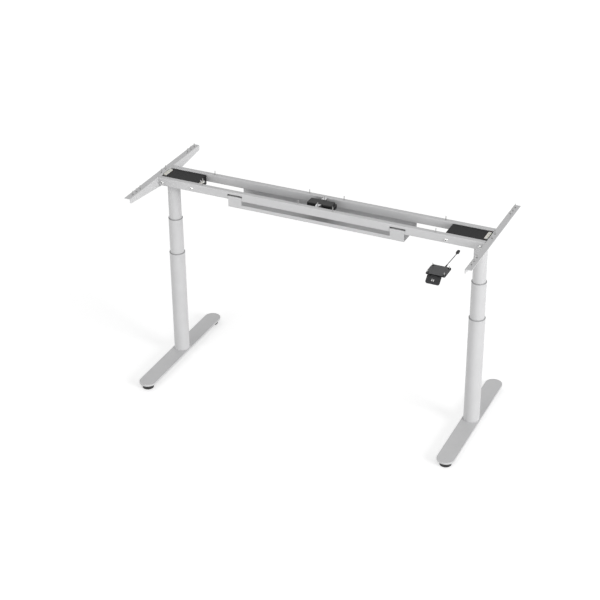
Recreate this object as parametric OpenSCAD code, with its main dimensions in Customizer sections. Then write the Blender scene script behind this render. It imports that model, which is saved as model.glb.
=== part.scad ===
/* [Frame] */
// Distance between the axes of the two columns
column_spacing = 1626; // [1200:2:1700]
// Height of the frame's top face above the floor, as it stands
top_height = 1060; // [900:1:1200]
// Length of a side bracket, front to back
bracket_length = 704; // [600:1:800]
// Width of a side bracket's top flange
bracket_width = 33; // [28:0.5:45]
// Depth of a side bracket's web at the rails
bracket_depth = 56; // [48:0.5:70]
// Depth of a side bracket's web at its ends
bracket_end_depth = 27; // [22:0.5:40]
// Thickness of the bracket steel
bracket_wall = 3; // [2:0.1:5]
// Distance from a column's axis to the inner face of its bracket
bracket_offset = 41.4; // [41:0.1:60]

/* [Rails] */
// Height of a rail
rail_height = 42; // [38:0.5:60]
// Depth of a rail, front to back
rail_depth = 26; // [22:0.5:40]
// Distance between the outer faces of the two rails
rail_spread = 161; // [150:0.5:200]
// Wall of a rail
rail_wall = 2; // [1.5:0.1:3]
// Outer corner radius of a rail
rail_corner = 4; // [3.5:0.1:6]

/* [Columns] */
// Radius of the outer tube
outer_radius = 40; // [40:0.1:41]
// Wall of the outer tube
outer_wall = 2; // [1.5:0.1:2.2]
// Length of the outer tube
outer_length = 574; // [560:1:600]
// Radius of the middle tube
middle_radius = 36.3; // [36:0.05:36.6]
// Wall of the middle tube
middle_wall = 1.7; // [1.4:0.05:1.9]
// Length of the middle tube
middle_length = 555; // [530:1:560]
// Radius of the inner tube
inner_radius = 32.6; // [32.2:0.05:32.9]
// Wall of the inner tube
inner_wall = 1.7; // [1.4:0.05:2]
// Length of the inner tube
inner_length = 545; // [520:1:550]
// Height of the plastic ring on a tube's mouth
ring_height = 4; // [3:0.5:8]
// Step of a mouth ring out past its own tube
ring_step = 0.6; // [0.4:0.1:2]
// Length of the part of a mouth ring that sits in the tube
ring_skirt = 30; // [20:1:60]
// Length of the guide sleeve at a moving tube's lower end
guide_length = 40; // [25:1:60]

/* [Feet] */
// Width of a foot plate
foot_width = 87.5; // [84:0.5:110]
// Reach of a foot plate in front of its column's axis
foot_front = 408; // [360:1:430]
// Reach of a foot plate behind its column's axis
foot_back = 387; // [340:1:430]
// Thickness of a foot plate
foot_thickness = 10; // [9:0.5:14]
// Radius of a levelling glide
glide_radius = 29; // [25:0.5:34]
// Height of a levelling glide
glide_height = 27.5; // [24:0.5:32]

/* [Cable tray] */
// Length of the cable tray
tray_length = 924; // [800:2:960]
// Drop of the tray's floor below the rails
tray_drop = 38.5; // [25:0.5:60]
// Height of the tray's front lip
tray_lip = 19.5; // [12:0.5:24]
// Height of the tray's back wall
tray_back = 34.5; // [24:0.5:36]
// Sheet of the tray
tray_sheet = 1.5; // [1:0.1:2]
// Width of one of the tray's four hanging tabs
tab_width = 72; // [40:1:100]

/* [Motor housings] */
// Length of a motor housing
housing_length = 198; // [190:1:210]
// Height of a motor housing with its cover
housing_height = 46.5; // [45:0.5:52]
// Wall of a motor housing
housing_wall = 3; // [2.5:0.1:4]
// Drop of the housing's cover below the frame's top face
housing_drop = 6; // [4:0.5:8]
// Radius of the motor
motor_radius = 17; // [14:0.5:17]
// Length of the motor
motor_length = 96; // [70:1:98]

/* [Control box] */
// Length of the control box
box_length = 130; // [110:1:200]
// Depth of the control box, front to back
box_depth = 54; // [44:1:60]
// Height of the control box
box_height = 34; // [28:0.5:38]

/* [Handset] */
// Width of the handset
handset_width = 91; // [80:1:110]
// Depth of the handset, front to back
handset_depth = 85; // [76:1:100]
// Thickness of the handset
handset_height = 8; // [7:0.5:12]
// Width of the paddle
paddle_width = 66; // [62:1:76]
// Length of the paddle from its pin
paddle_length = 41.5; // [34:0.5:52]
// Thickness of the paddle
paddle_thickness = 5; // [4:0.5:7]
// Slope of the paddle down to the front, in degrees
paddle_slope = 40; // [25:1:45]

/* [Screws] */
// Height of a rail or bracket screw above the frame's top face
screw_rise = 22; // [15:1:30]
// Radius of a screw for the desktop
screw_radius = 2.25; // [1.75:0.05:2.5]
// Radius of a bolt that holds a motor housing
bolt_radius = 4; // [3:0.1:4.5]

/* [Hidden] */
$fn = 64;

// Overrun of every cut, and the thickness of a slice that a hull starts from
cut = 1;
slice = 0.05;
// Clearances: a running fit, a sliding guide, a stop, a screw in its hole
running = 0.05;
sliding = 0.3;
stop_gap = 1;
hole_slack = 0.3;

// Floor, foot and frame levels
plate_low = glide_height;
plate_high = glide_height + foot_thickness;
rail_low = top_height - rail_height;
cover_high = top_height - housing_drop;
housing_low = cover_high - housing_height;
column_plate = 4;
column_plate_low = housing_low - column_plate;

// The three stages: half of the lift goes to the middle tube
outer_ring_high = plate_high + outer_length + ring_height;
closed_level = outer_ring_high + stop_gap + ring_height + stop_gap;
lift_at_rest = column_plate_low - closed_level;
middle_high = outer_ring_high + stop_gap + lift_at_rest / 2;
middle_low = middle_high - middle_length;
inner_low = column_plate_low - inner_length;

// Places along the rails, measured from the middle of the frame
column_x = column_spacing / 2;
web_x = column_x + bracket_offset;
housing_gap = 4.4;
housing_out_x = web_x - housing_gap;
housing_in_x = housing_out_x - housing_length;
bolt_inset = 15.5;
bolt_out_x = housing_out_x - bolt_inset;
bolt_in_x = housing_in_x + bolt_inset;
bolt_drop = 24.5;
bolt_z = top_height - bolt_drop;

// Places front to back, measured from the columns' axes
rail_out_y = rail_spread / 2;
rail_in_y = rail_out_y - rail_depth;
rail_mid_y = rail_out_y - rail_depth / 2;

// Foot, glides and the disc that closes the outer tube
foot_end_radius = foot_width / 2;
glide_front_y = -(foot_front - foot_end_radius);
glide_back_y = foot_back - foot_end_radius;
base_disc = 12;
base_screw_circle = 24;
base_screw_radius = 4;
base_head_radius = 8.3;
base_head_depth = 4.3;
stud_radius = 4;
stud_floor = 2;
glide_floor = 5.5;
glide_hub_radius = 22;
glide_chamfer = 3;
glide_hub_rise = 3.5;

// Lifting screws inside each column, from the fixed post outward
post_radius = 6;
post_length = 507;
spindle_radius = 10.5;
spindle_bore = 7;
spindle_length = 540;
nut_flange = 4;
collar_radius = 16;
collar_height = 6;
middle_disc = 8;
drive_radius = 15;
drive_bore = 12;
drive_length = 572;
nut_length = 40;
wheel_radius = 22;
wheel_height = 16;
worm_radius = 7.4;
worm_length = 34;
mesh_gap = 0.6;
motor_y = wheel_radius + mesh_gap + worm_radius;
bearing_radius = 24;
bearing_height = 9;
drive_head = 6;

// Column plate under each housing
plate_half_x = 38;
plate_half_y = 45;
plate_hole_x = 30;
plate_hole_y = 37;
plate_screw_radius = 3;
plate_head_radius = 5;
plate_head_height = 3.4;

// Housing details
housing_corner = 8;
cover_thickness = 2.5;
cover_mark_radius = 1.2;
cover_mark_depth = 0.8;
boss_radius = 7;
boss_reach = 12;
connector_width = 15;
connector_length = 66;
connector_pin = 2.4;
connector_pitch = 9;
connector_pin_depth = 4;

// Bolt and screw heads
bolt_head_radius = 9;
bolt_head_height = 4.6;
bolt_socket = 3;
end_screw_radius = 3;
end_screw_head = 6;
end_screw_spread = 20;
end_plate = 5;
screw_head_radius = 4.5;
screw_head_height = 3;
screw_tip = 4;
screw_relief = 0.35;
access_radius = 7;

// Screw places along a rail, and along a bracket from the columns' axes
rail_screw_inset = 40;
rail_screw_far_x = housing_in_x - rail_screw_inset;
rail_screw_near_x = 91;
bracket_screw_inset = 14.6;
bracket_head_seat = 0.5;
bracket_screw_front = -267;
bracket_screw_back = 287;
bracket_screw_pitch = 36;
bracket_screw_middle = 22;
bracket_bend = 4;
bracket_end_radius = 10;
bracket_flat = 60;

// Tray details
tray_gap = 1.5;
tray_bend = 3;
tongue_reach = 14;
tab_rise = 58;
slot_height = 10;
slot_play = 4;

// Control box details
box_corner = 6;
box_chamfer = 3;
socket_block = 8;
socket_inset = 5;
socket_drop = 8;
socket_count = 3;
socket_width = 10;
socket_opening = 7;
socket_depth = 6.5;
clip_sheet = 1.5;
clip_wide = 26;
clip_narrow = 16;
clip_leg = 16;
clip_rise = 16;

// Handset place, from the middle of the frame and the columns' axes
handset_inset = 101.9;
handset_x = web_x - handset_inset;
handset_back_y = -367;
handset_corner = 5;
handset_lid_height = 2.5;
handset_pocket = 7;
handset_hole_inset_x = 6.5;
handset_hole_inset_y = 9.5;
handset_rise = 13;
paddle_offset = 5;
paddle_x = handset_x - paddle_offset;
hub_gap = 1.5;
hub_clear = 2;
hub_pin_recess = 3;
hub_radius = 4;
pin_radius = 1.5;
lug = 4;
lug_gap = 0.4;
lug_spread = 36;
paddle_corner = 9;
switch_width = 56;
switch_depth = 42;
switch_height = 9;
paddle_pin_inset = 9;
pin_y = handset_back_y - handset_depth + paddle_pin_inset;
pin_z = top_height - handset_height - hub_radius - lug_gap;
paddle_tip_y = pin_y - paddle_length * cos(paddle_slope)
  - paddle_thickness / 2 * sin(paddle_slope);

// Cord, its relief and its plug
cord_radius = 1.8;
cord_sides = 8;
relief_length = 28;
relief_radius = 4;
plug_length = 36;
plug_width = 13;
plug_height = 10;
cord_offset = 15.5;
cord_x = handset_x + cord_offset;
cord_drop = 5;
cord_z = top_height - cord_drop;
cord_y = handset_back_y + relief_length;
cord_path = [
  [0, 0, 0], [0, 8, 0], [0, 16, 0], [0, 24, -0.2], [0, 32, -0.6],
  [0, 40, -1], [0, 48, -1.4], [0, 56, -1.8], [0, 64, -2.2], [0, 72, -2.6],
  [0, 80, -3], [0, 88, -3.4], [0, 96, -3.8], [0, 104, -4], [0, 112, -4], [0, 118, -4]
];

// Clip for a cable, beside the left housing
cable_clip_gap = 21;
clip_x = -(housing_in_x - cable_clip_gap);
cable_clip_width = 14;
cable_clip_depth = 34;
cable_clip_inset = 4.8;
cable_clip_spread = 23;
cable_clip_arch = 5;
cable_clip_height = 8;
cable_clip_rise = 17;
clip_screw_places = [cable_clip_inset, cable_clip_inset + cable_clip_spread];

// The origin lies on the floor, in the middle of the whole frame's depth
shift_y = (-paddle_tip_y - foot_back) / 2;

frame_grey = [0.73, 0.73, 0.74];
bare_steel = [0.62, 0.62, 0.64];
black_plastic = [0.1, 0.1, 0.1];
dark_plastic = [0.2, 0.2, 0.21];
ring_grey = [0.35, 0.35, 0.36];
bronze = [0.72, 0.55, 0.3];
white_plastic = [0.9, 0.89, 0.85];

// Puts a piece in the frame's axes: x and y from the middle and the columns
module place(x, y, z) {
  translate([x, y + shift_y, z])
    children();
}

// Draws a piece made for the right-hand column on side s
module on_side(s) {
  if (s < 0)
    mirror([1, 0, 0])
      children();
  else
    children();
}

module round_rect(w, h, r) {
  square([w - 2 * r, h], center = true);
  square([w, h - 2 * r], center = true);
  for (x = [-1, 1], y = [-1, 1])
    translate([x * (w / 2 - r), y * (h / 2 - r)])
      circle(r = r);
}

module pipe(r, wall, h) {
  difference() {
    cylinder(r = r, h = h);
    translate([0, 0, -cut])
      cylinder(r = r - wall, h = h + 2 * cut);
  }
}

// A hole along Z through a plate that starts at z = 0
module hole(r, h) {
  translate([0, 0, -cut])
    cylinder(r = r, h = h + 2 * cut, $fn = 32);
}

// An angle's section: flange along +X at the top, web down along X = 0
module angle_section(w, h, wall, bend) {
  difference() {
    union() {
      translate([bend, -h])
        square([w - bend, h]);
      translate([0, -h])
        square([w, h - bend]);
      translate([bend, -bend])
        circle(r = bend);
    }
    translate([bend, -h - cut])
      square([w, h + cut - wall]);
    translate([wall, -h - cut])
      square([w, h + cut - bend]);
    translate([bend, -bend])
      circle(r = bend - wall);
  }
}

// FEET

module foot_plate(s) {
  mid = (foot_back - foot_front) / 2;
  straight = foot_front + foot_back - 2 * foot_end_radius;
  color(frame_grey)
    place(s * column_x, 0, plate_low)
      difference() {
        union() {
          translate([-foot_end_radius, mid - straight / 2, 0])
            cube([foot_width, straight, foot_thickness]);
          for (y = [glide_front_y, glide_back_y])
            translate([0, y, 0])
              cylinder(r = foot_end_radius, h = foot_thickness);
        }
        for (y = [glide_front_y, glide_back_y])
          translate([0, y, -cut])
            cylinder(r = stud_radius + running, h = foot_thickness - stud_floor + cut);
        for (a = [45:90:315])
          rotate(a)
            translate([base_screw_circle, 0, 0]) {
              hole(base_screw_radius + hole_slack, foot_thickness);
              translate([0, 0, -slice])
                cylinder(
                  r1 = base_head_radius + hole_slack,
                  r2 = base_screw_radius + hole_slack,
                  h = base_head_depth + hole_slack
                );
            }
      }
}

module foot_screws() {
  color(bare_steel)
    for (s = [-1, 1], a = [45:90:315])
      place(s * column_x, 0, plate_low)
        rotate(a)
          translate([base_screw_circle, 0, 0]) {
            cylinder(r1 = base_head_radius, r2 = base_screw_radius, h = base_head_depth);
            cylinder(
              r = base_screw_radius,
              h = foot_thickness + base_disc - stop_gap,
              $fn = 32
            );
          }
}

module glide_studs() {
  color(bare_steel)
    for (s = [-1, 1], y = [glide_front_y, glide_back_y])
      place(s * column_x, y, glide_floor + stud_floor)
        cylinder(
          r = stud_radius,
          h = plate_high - stud_floor - glide_floor - stud_floor - running
        );
}

module glide(s, y) {
  rim = glide_height - glide_hub_rise - glide_chamfer;
  color(black_plastic)
    place(s * column_x, y, 0)
      difference() {
        union() {
          cylinder(r1 = glide_radius - cut, r2 = glide_radius, h = cut);
          translate([0, 0, cut])
            cylinder(r = glide_radius, h = rim - cut);
          translate([0, 0, rim])
            cylinder(
              r1 = glide_radius,
              r2 = glide_radius - glide_chamfer,
              h = glide_chamfer
            );
          cylinder(r = glide_hub_radius, h = glide_height);
        }
        translate([0, 0, glide_floor])
          cylinder(r = stud_radius + running, h = glide_height);
      }
}

// COLUMNS

module outer_tube(s) {
  color(frame_grey)
    place(s * column_x, 0, plate_high)
      union() {
        pipe(outer_radius, outer_wall, outer_length);
        difference() {
          cylinder(r = outer_radius - outer_wall / 2, h = base_disc);
          hole(post_radius + running, base_disc);
          for (a = [45:90:315])
            rotate(a)
              translate([base_screw_circle, 0, 0])
                hole(base_screw_radius + running, base_disc);
        }
      }
}

// A collar on a tube's mouth, with a skirt down inside, that guides the tube within
module mouth_ring(tube_radius, tube_wall, slider_radius) {
  difference() {
    union() {
      cylinder(r = tube_radius + ring_step, h = ring_height);
      translate([0, 0, -ring_skirt])
        cylinder(r = tube_radius - tube_wall - running, h = ring_skirt);
    }
    translate([0, 0, -ring_skirt - cut])
      cylinder(r = slider_radius + sliding, h = ring_skirt + ring_height + 2 * cut);
  }
}

module outer_ring(s) {
  color(ring_grey)
    place(s * column_x, 0, plate_high + outer_length)
      mouth_ring(outer_radius, outer_wall, middle_radius);
}

module middle_ring(s) {
  color(ring_grey)
    place(s * column_x, 0, middle_high)
      mouth_ring(middle_radius, middle_wall, inner_radius);
}

// A sleeve at a moving tube's lower end that runs in the tube around it
module guide_sleeve(tube_radius, tube_wall, bore_radius) {
  lip = 2;
  difference() {
    translate([0, 0, -lip])
      cylinder(r = bore_radius - sliding, h = guide_length + lip);
    cylinder(r = tube_radius + running, h = guide_length + cut);
    translate([0, 0, -lip - cut])
      cylinder(r = tube_radius - tube_wall, h = guide_length);
  }
}

module middle_tube(s) {
  color(frame_grey)
    place(s * column_x, 0, middle_low)
      union() {
        pipe(middle_radius, middle_wall, middle_length);
        difference() {
          cylinder(r = middle_radius - middle_wall / 2, h = middle_disc);
          hole(spindle_radius + running, middle_disc);
        }
      }
}

module middle_guide(s) {
  color(white_plastic)
    place(s * column_x, 0, middle_low)
      guide_sleeve(middle_radius, middle_wall, outer_radius - outer_wall);
}

module inner_tube(s) {
  color(frame_grey)
    place(s * column_x, 0, inner_low)
      union() {
        pipe(inner_radius, inner_wall, inner_length);
        translate([0, 0, inner_length])
          difference() {
            translate([-plate_half_x, -plate_half_y, 0])
              cube([2 * plate_half_x, 2 * plate_half_y, column_plate]);
            hole(bearing_radius, column_plate);
            for (x = [-1, 1], y = [-1, 1])
              translate([x * plate_hole_x, y * plate_hole_y, 0])
                hole(plate_screw_radius + hole_slack, column_plate);
          }
      }
}

module inner_guides() {
  color(white_plastic)
    for (s = [-1, 1])
      place(s * column_x, 0, inner_low)
        guide_sleeve(inner_radius, inner_wall, middle_radius - middle_wall);
}

module column_plate_screws() {
  grip = column_plate + housing_wall + boss_radius - cut;
  color(bare_steel)
    for (s = [-1, 1], x = [-1, 1], y = [-1, 1])
      place(s * column_x + x * plate_hole_x, y * plate_hole_y, column_plate_low) {
        translate([0, 0, -plate_head_height])
          cylinder(r = plate_head_radius, h = plate_head_height, $fn = 32);
        cylinder(r = plate_screw_radius, h = grip, $fn = 32);
      }
}

// LIFTING SCREWS

module lift_post(s) {
  color(bare_steel)
    place(s * column_x, 0, plate_high)
      cylinder(r = post_radius, h = post_length);
}

module spindle(s) {
  color(bare_steel)
    place(s * column_x, 0, middle_low - sliding)
      difference() {
        union() {
          cylinder(r = spindle_radius, h = spindle_length);
          translate([0, 0, middle_disc + 2 * sliding])
            cylinder(r = collar_radius, h = collar_height);
        }
        hole(spindle_bore, spindle_length);
      }
}

module spindle_nut(s) {
  color(bronze)
    place(s * column_x, 0, middle_low - sliding)
      difference() {
        union() {
          cylinder(r = spindle_bore, h = nut_length);
          translate([0, 0, -nut_flange])
            cylinder(r = collar_radius, h = nut_flange);
        }
        translate([0, 0, -nut_flange])
          hole(post_radius + running, nut_length + nut_flange);
      }
}

drive_high = housing_low + housing_wall + bearing_height + wheel_height + drive_head;
wheel_low = housing_low + housing_wall + bearing_height + sliding;

module drive_tube(s) {
  color(bare_steel)
    place(s * column_x, 0, drive_high - drive_length)
      difference() {
        union() {
          cylinder(r = drive_radius, h = drive_length);
          translate([0, 0, wheel_low - drive_high + drive_length])
            cylinder(r = wheel_radius, h = wheel_height);
        }
        hole(drive_bore, drive_length);
      }
}

module drive_nut(s) {
  color(bronze)
    place(s * column_x, 0, drive_high - drive_length)
      difference() {
        cylinder(r = drive_bore, h = nut_length);
        hole(spindle_radius + running, nut_length);
      }
}

module drive_bearings() {
  color(bare_steel)
    for (s = [-1, 1])
      place(s * column_x, 0, housing_low + housing_wall)
        difference() {
          cylinder(r = bearing_radius, h = bearing_height);
          hole(drive_radius + running, bearing_height);
        }
}

// MOTOR HOUSINGS

module housing_outline(inset) {
  r = housing_corner - inset / 2;
  round_rect(housing_length - 2 * inset, 2 * (rail_in_y - inset), r);
}

module gear_housing(s) {
  mid_x = (housing_in_x + housing_out_x) / 2;
  shell = housing_height - cover_thickness;
  color(black_plastic)
    on_side(s)
      place(0, 0, housing_low)
        difference() {
          union() {
            translate([mid_x, 0, 0])
              difference() {
                linear_extrude(shell)
                  housing_outline(0);
                translate([0, 0, housing_wall])
                  linear_extrude(shell)
                    housing_outline(housing_wall);
              }
            for (x = [bolt_in_x, bolt_out_x], y = [-1, 1])
              translate([x, y * (rail_in_y - housing_wall / 2), bolt_z - housing_low])
                rotate([y * 90, 0, 0])
                  cylinder(r = boss_radius, h = boss_reach);
            for (x = [-1, 1], y = [-1, 1])
              translate([column_x + x * plate_hole_x, y * plate_hole_y, 0])
                cylinder(r = boss_radius, h = housing_wall + boss_radius);
            translate([can_x, 0, 0])
              cube([
                motor_rib,
                rail_in_y - housing_wall / 2,
                motor_z - housing_low + motor_radius / 2
              ]);
          }
          translate([can_x - cut, motor_y, motor_z - housing_low])
            rotate([0, 90, 0])
              cylinder(r = worm_radius + cut, h = motor_rib + 2 * cut);
          for (x = [bolt_in_x, bolt_out_x])
            translate([x, 0, bolt_z - housing_low])
              rotate([90, 0, 0])
                cylinder(r = bolt_radius + running, h = rail_spread, center = true);
          for (x = [-1, 1], y = [-1, 1])
            translate([column_x + x * plate_hole_x, y * plate_hole_y, 0])
              hole(plate_screw_radius + running, housing_wall + boss_radius);
          translate([column_x, 0, 0])
            hole(drive_radius + hole_slack, housing_wall);
        }
}

module housing_cover(s) {
  mid_x = (housing_in_x + housing_out_x) / 2;
  color(black_plastic)
    on_side(s)
      place(mid_x, 0, cover_high - cover_thickness)
        difference() {
          linear_extrude(cover_thickness)
            housing_outline(cut);
          translate([0, 0, cover_thickness - cover_mark_depth])
            cylinder(r = cover_mark_radius, h = cover_mark_depth + cut, $fn = 32);
        }
}

can_x = column_x - plate_hole_x - boss_radius - cut;
motor_z = wheel_low + wheel_height / 2;
motor_rib = 4;

module motor(s) {
  reach = column_x - can_x;
  color(dark_plastic)
    on_side(s)
      place(can_x, motor_y, motor_z)
        rotate([0, -90, 0]) {
          cylinder(r = motor_radius, h = motor_length);
          translate([0, 0, -reach])
            cylinder(r = worm_radius / 2, h = reach);
          translate([0, 0, -reach - worm_length / 2])
            cylinder(r = worm_radius, h = worm_length);
        }
}

module motor_connectors() {
  pins = floor(connector_length / connector_pitch);
  color(white_plastic)
    for (s = [-1, 1])
      on_side(s)
        place(housing_out_x - connector_width / 2, 0, cover_high)
          difference() {
            translate([-connector_width / 2, -connector_length / 2, 0])
              cube([connector_width, connector_length, housing_drop]);
            for (i = [0:pins - 1], x = [-1, 1])
              translate([
                x * connector_width / 4 - connector_pin / 2,
                (i - (pins - 1) / 2) * connector_pitch - connector_pin / 2,
                housing_drop - connector_pin_depth
              ])
                cube([connector_pin, connector_pin, connector_pin_depth + cut]);
          }
}

module housing_bolts() {
  grip = rail_depth + housing_wall / 2 + boss_reach - cut;
  color(bare_steel)
    for (s = [-1, 1], x = [bolt_in_x, bolt_out_x], y = [-1, 1])
      place(s * x, y * rail_out_y, bolt_z)
        rotate([y * 90, 0, 0])
          difference() {
            union() {
              cylinder(r = bolt_radius, h = grip, $fn = 32);
              translate([0, 0, -bolt_head_height])
                cylinder(
                  r1 = bolt_head_radius - bolt_head_height / 2,
                  r2 = bolt_head_radius,
                  h = bolt_head_height
                );
            }
            translate([0, 0, -bolt_head_height - cut])
              cylinder(r = bolt_socket, h = bolt_head_height, $fn = 6);
          }
}

// RAILS, BRACKETS AND TRAY

rail_length = 2 * web_x;
tab_mid_x = (tray_length - tab_width) / 2;
tray_floor = rail_low - tray_drop;
tab_high = tray_floor + tab_rise;

// A rail drawn for the front, its outer face towards -Y
module rail_body() {
  difference() {
    rotate([90, 0, 90])
      translate([0, 0, -rail_length / 2])
        linear_extrude(rail_length)
          round_rect(rail_depth, rail_height, rail_corner);
    rotate([90, 0, 90])
      translate([0, 0, end_plate - rail_length / 2])
        linear_extrude(rail_length - 2 * end_plate)
          round_rect(
            rail_depth - 2 * rail_wall,
            rail_height - 2 * rail_wall,
            rail_corner - rail_wall
          );
    for (x = [-rail_screw_far_x, -rail_screw_near_x, rail_screw_near_x, rail_screw_far_x])
      translate([x, 0, 0]) {
        cylinder(r = screw_radius + hole_slack, h = rail_height, $fn = 32);
        translate([0, 0, -rail_height])
          cylinder(r = access_radius, h = rail_height);
      }
    for (x = [-bolt_out_x, -bolt_in_x, bolt_in_x, bolt_out_x])
      translate([x, 0, rail_height / 2 - bolt_drop])
        rotate([90, 0, 0])
          cylinder(r = bolt_radius + hole_slack, h = 2 * rail_depth, center = true);
    for (s = [-1, 1], z = [-1, 1])
      translate([s * rail_length / 2, 0, z * end_screw_spread / 2])
        rotate([0, 90, 0])
          cylinder(
            r = end_screw_radius + running,
            h = 2 * (end_plate + cut),
            center = true,
            $fn = 32
          );
    for (s = [-1, 1])
      translate([
        s * (tab_mid_x + slot_play / 4) - tab_width / 2 - slot_play,
        -rail_depth / 2 - cut,
        tab_high - tray_sheet - rail_low - rail_height / 2
      ])
        cube([tab_width + 2 * slot_play, rail_wall + cut, slot_height]);
  }
}

module front_rail() {
  color(frame_grey)
    place(0, -rail_mid_y, rail_low + rail_height / 2)
      rail_body();
}

module back_rail() {
  color(frame_grey)
    place(0, rail_mid_y, rail_low + rail_height / 2)
      mirror([0, 1, 0])
        rail_body();
}

// Side view of a bracket, from the middle out along +X, with Y down from the top
module bracket_half_outline() {
  half = bracket_length / 2;
  centre = [half - bracket_end_radius, bracket_end_depth - bracket_end_radius];
  start = [bracket_flat, bracket_depth];
  span = norm(centre - start);
  lean = atan2(start[1] - centre[1], centre[0] - start[0])
    - asin(bracket_end_radius / span);
  touch = centre + bracket_end_radius * [sin(lean), cos(lean)];
  polygon([[0, 0], [half, 0], [half, centre[1]], centre, touch, start, [0, bracket_depth]]);
  translate(centre)
    circle(r = bracket_end_radius);
}

module bracket(s) {
  color(frame_grey)
    on_side(s)
      place(web_x, 0, top_height)
        difference() {
          intersection() {
            rotate([90, 0, 0])
              linear_extrude(bracket_length + 2 * cut, center = true)
                angle_section(bracket_width, bracket_depth, bracket_wall, bracket_bend);
            for (m = [0, 1])
              mirror([0, m, 0])
                translate([-cut, 0, 0])
                  rotate([90, 0, 90])
                    linear_extrude(bracket_width + 2 * cut)
                      mirror([0, 1, 0])
                        bracket_half_outline();
          }
          for (p = bracket_screw_places)
            translate([bracket_screw_inset, p, -bracket_wall])
              hole(screw_head_radius - bracket_head_seat, bracket_wall);
          for (y = [-1, 1], z = [-1, 1])
            translate([
              -cut,
              y * rail_mid_y,
              z * end_screw_spread / 2 - rail_height / 2
            ])
              rotate([0, 90, 0])
                cylinder(
                  r = end_screw_radius + hole_slack,
                  h = bracket_wall + 2 * cut,
                  $fn = 32
                );
        }
}

bracket_screw_places = [
  for (i = [-1:1]) bracket_screw_front + i * bracket_screw_pitch,
  -bracket_screw_middle,
  bracket_screw_middle,
  for (i = [-1:1]) bracket_screw_back + i * bracket_screw_pitch
];

module rail_end_screws() {
  dome = 3;
  color(bare_steel)
    for (s = [-1, 1], y = [-1, 1], z = [-1, 1])
      on_side(s)
        place(
          web_x + bracket_wall,
          y * rail_mid_y,
          rail_low + rail_height / 2 + z * end_screw_spread / 2
        )
          rotate([0, -90, 0])
            difference() {
              union() {
                cylinder(r = end_screw_radius, h = bracket_wall + end_plate, $fn = 32);
                translate([0, 0, -dome])
                  cylinder(r1 = end_screw_head - cut, r2 = end_screw_head, h = dome);
              }
              translate([0, 0, -dome - cut])
                cylinder(r = end_screw_radius / 2, h = dome, $fn = 6);
            }
}

// The tray is one folded sheet: floor, front lip, back wall and four hanging tabs
module cable_tray() {
  out_y = rail_out_y + tray_gap + tray_sheet;
  wall_top = tab_rise - tongue_reach;
  color(frame_grey)
    place(0, 0, tray_floor) {
      difference() {
        rotate([90, 0, 90])
          linear_extrude(tray_length, center = true)
            difference() {
              translate([0, tab_rise])
                round_rect(2 * out_y, 2 * tab_rise, tray_bend);
              translate([0, tab_rise + tray_sheet / 2])
                round_rect(
                  2 * (out_y - tray_sheet),
                  2 * tab_rise - tray_sheet,
                  tray_bend - tray_sheet
                );
              translate([-out_y - cut, wall_top])
                square([2 * (out_y + cut), 2 * tab_rise]);
            }
        tray_window(-1, tray_lip);
        tray_window(1, tray_back);
      }
      for (s = [-1, 1], m = [0, 1])
        translate([s * tab_mid_x, 0, tab_rise])
          mirror([0, m, 0])
            translate([0, -out_y, 0])
              rotate([90, 0, 90])
                linear_extrude(tab_width, center = true)
                  angle_section(tongue_reach, tongue_reach, tray_sheet, tray_bend);
    }
}

// Lowers the tray's wall between its two tabs to the height given
module tray_window(side, low) {
  out_y = rail_out_y + tray_gap + tray_sheet;
  clear = tray_length - 2 * tab_width;
  translate([-clear / 2, side * out_y - tray_sheet - cut, low])
    cube([clear, 2 * (tray_sheet + cut), tab_rise]);
}

// CONTROL BOX

module control_box_case() {
  body = box_height - box_chamfer;
  color(black_plastic)
    place(0, 0, top_height - box_height) {
      linear_extrude(body)
        round_rect(box_length, box_depth, box_corner);
      hull() {
        translate([0, 0, body - slice])
          linear_extrude(slice)
            round_rect(box_length, box_depth, box_corner, $fn = 32);
        translate([0, 0, box_height - slice])
          linear_extrude(slice)
            round_rect(
              box_length - 2 * box_chamfer,
              box_depth - 2 * box_chamfer,
              box_corner - box_chamfer,
              $fn = 32
            );
      }
    }
}

module control_box_sockets() {
  wide = box_depth - 2 * socket_inset;
  high = box_height - socket_drop - socket_inset;
  pitch = wide / socket_count;
  color(dark_plastic)
    place(box_length / 2, 0, top_height - box_height + socket_inset)
      difference() {
        translate([0, -wide / 2, 0])
          cube([socket_block, wide, high]);
        for (i = [0:socket_count - 1])
          translate([
            socket_block - socket_depth,
            (i - (socket_count - 1) / 2) * pitch - socket_width / 2,
            (high - socket_opening) / 2
          ])
            cube([socket_depth + cut, socket_width, socket_opening]);
      }
}

// A hanger from the box's side to the rail, with a leg down the rail's inner face
module control_box_clips() {
  reach = rail_in_y - box_depth / 2;
  color(bare_steel)
    for (m = [0, 1])
      place(0, 0, top_height - clip_sheet)
        mirror([0, m, 0])
          difference() {
            union() {
              translate([0, box_depth / 2, 0])
                linear_extrude(clip_sheet)
                  polygon([
                    [-clip_wide / 2, 0],
                    [clip_wide / 2, 0],
                    [clip_narrow / 2, reach],
                    [-clip_narrow / 2, reach]
                  ]);
              translate([-clip_narrow / 2, rail_in_y - clip_sheet, -clip_leg])
                cube([clip_narrow, clip_sheet, clip_leg]);
              translate([-clip_wide / 2, box_depth / 2, -clip_leg])
                cube([clip_wide, clip_sheet, clip_leg + clip_sheet]);
            }
            translate([0, box_depth / 2 + reach / 2, 0])
              hole(screw_radius + hole_slack, clip_sheet);
          }
}

// HANDSET

handset_y = handset_back_y - handset_depth / 2;
hole_x = handset_width / 2 - handset_hole_inset_x;
hole_y = handset_depth / 2 - handset_hole_inset_y;
hub_width = 2 * (hole_x - paddle_offset - screw_head_radius - hub_gap);

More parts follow.
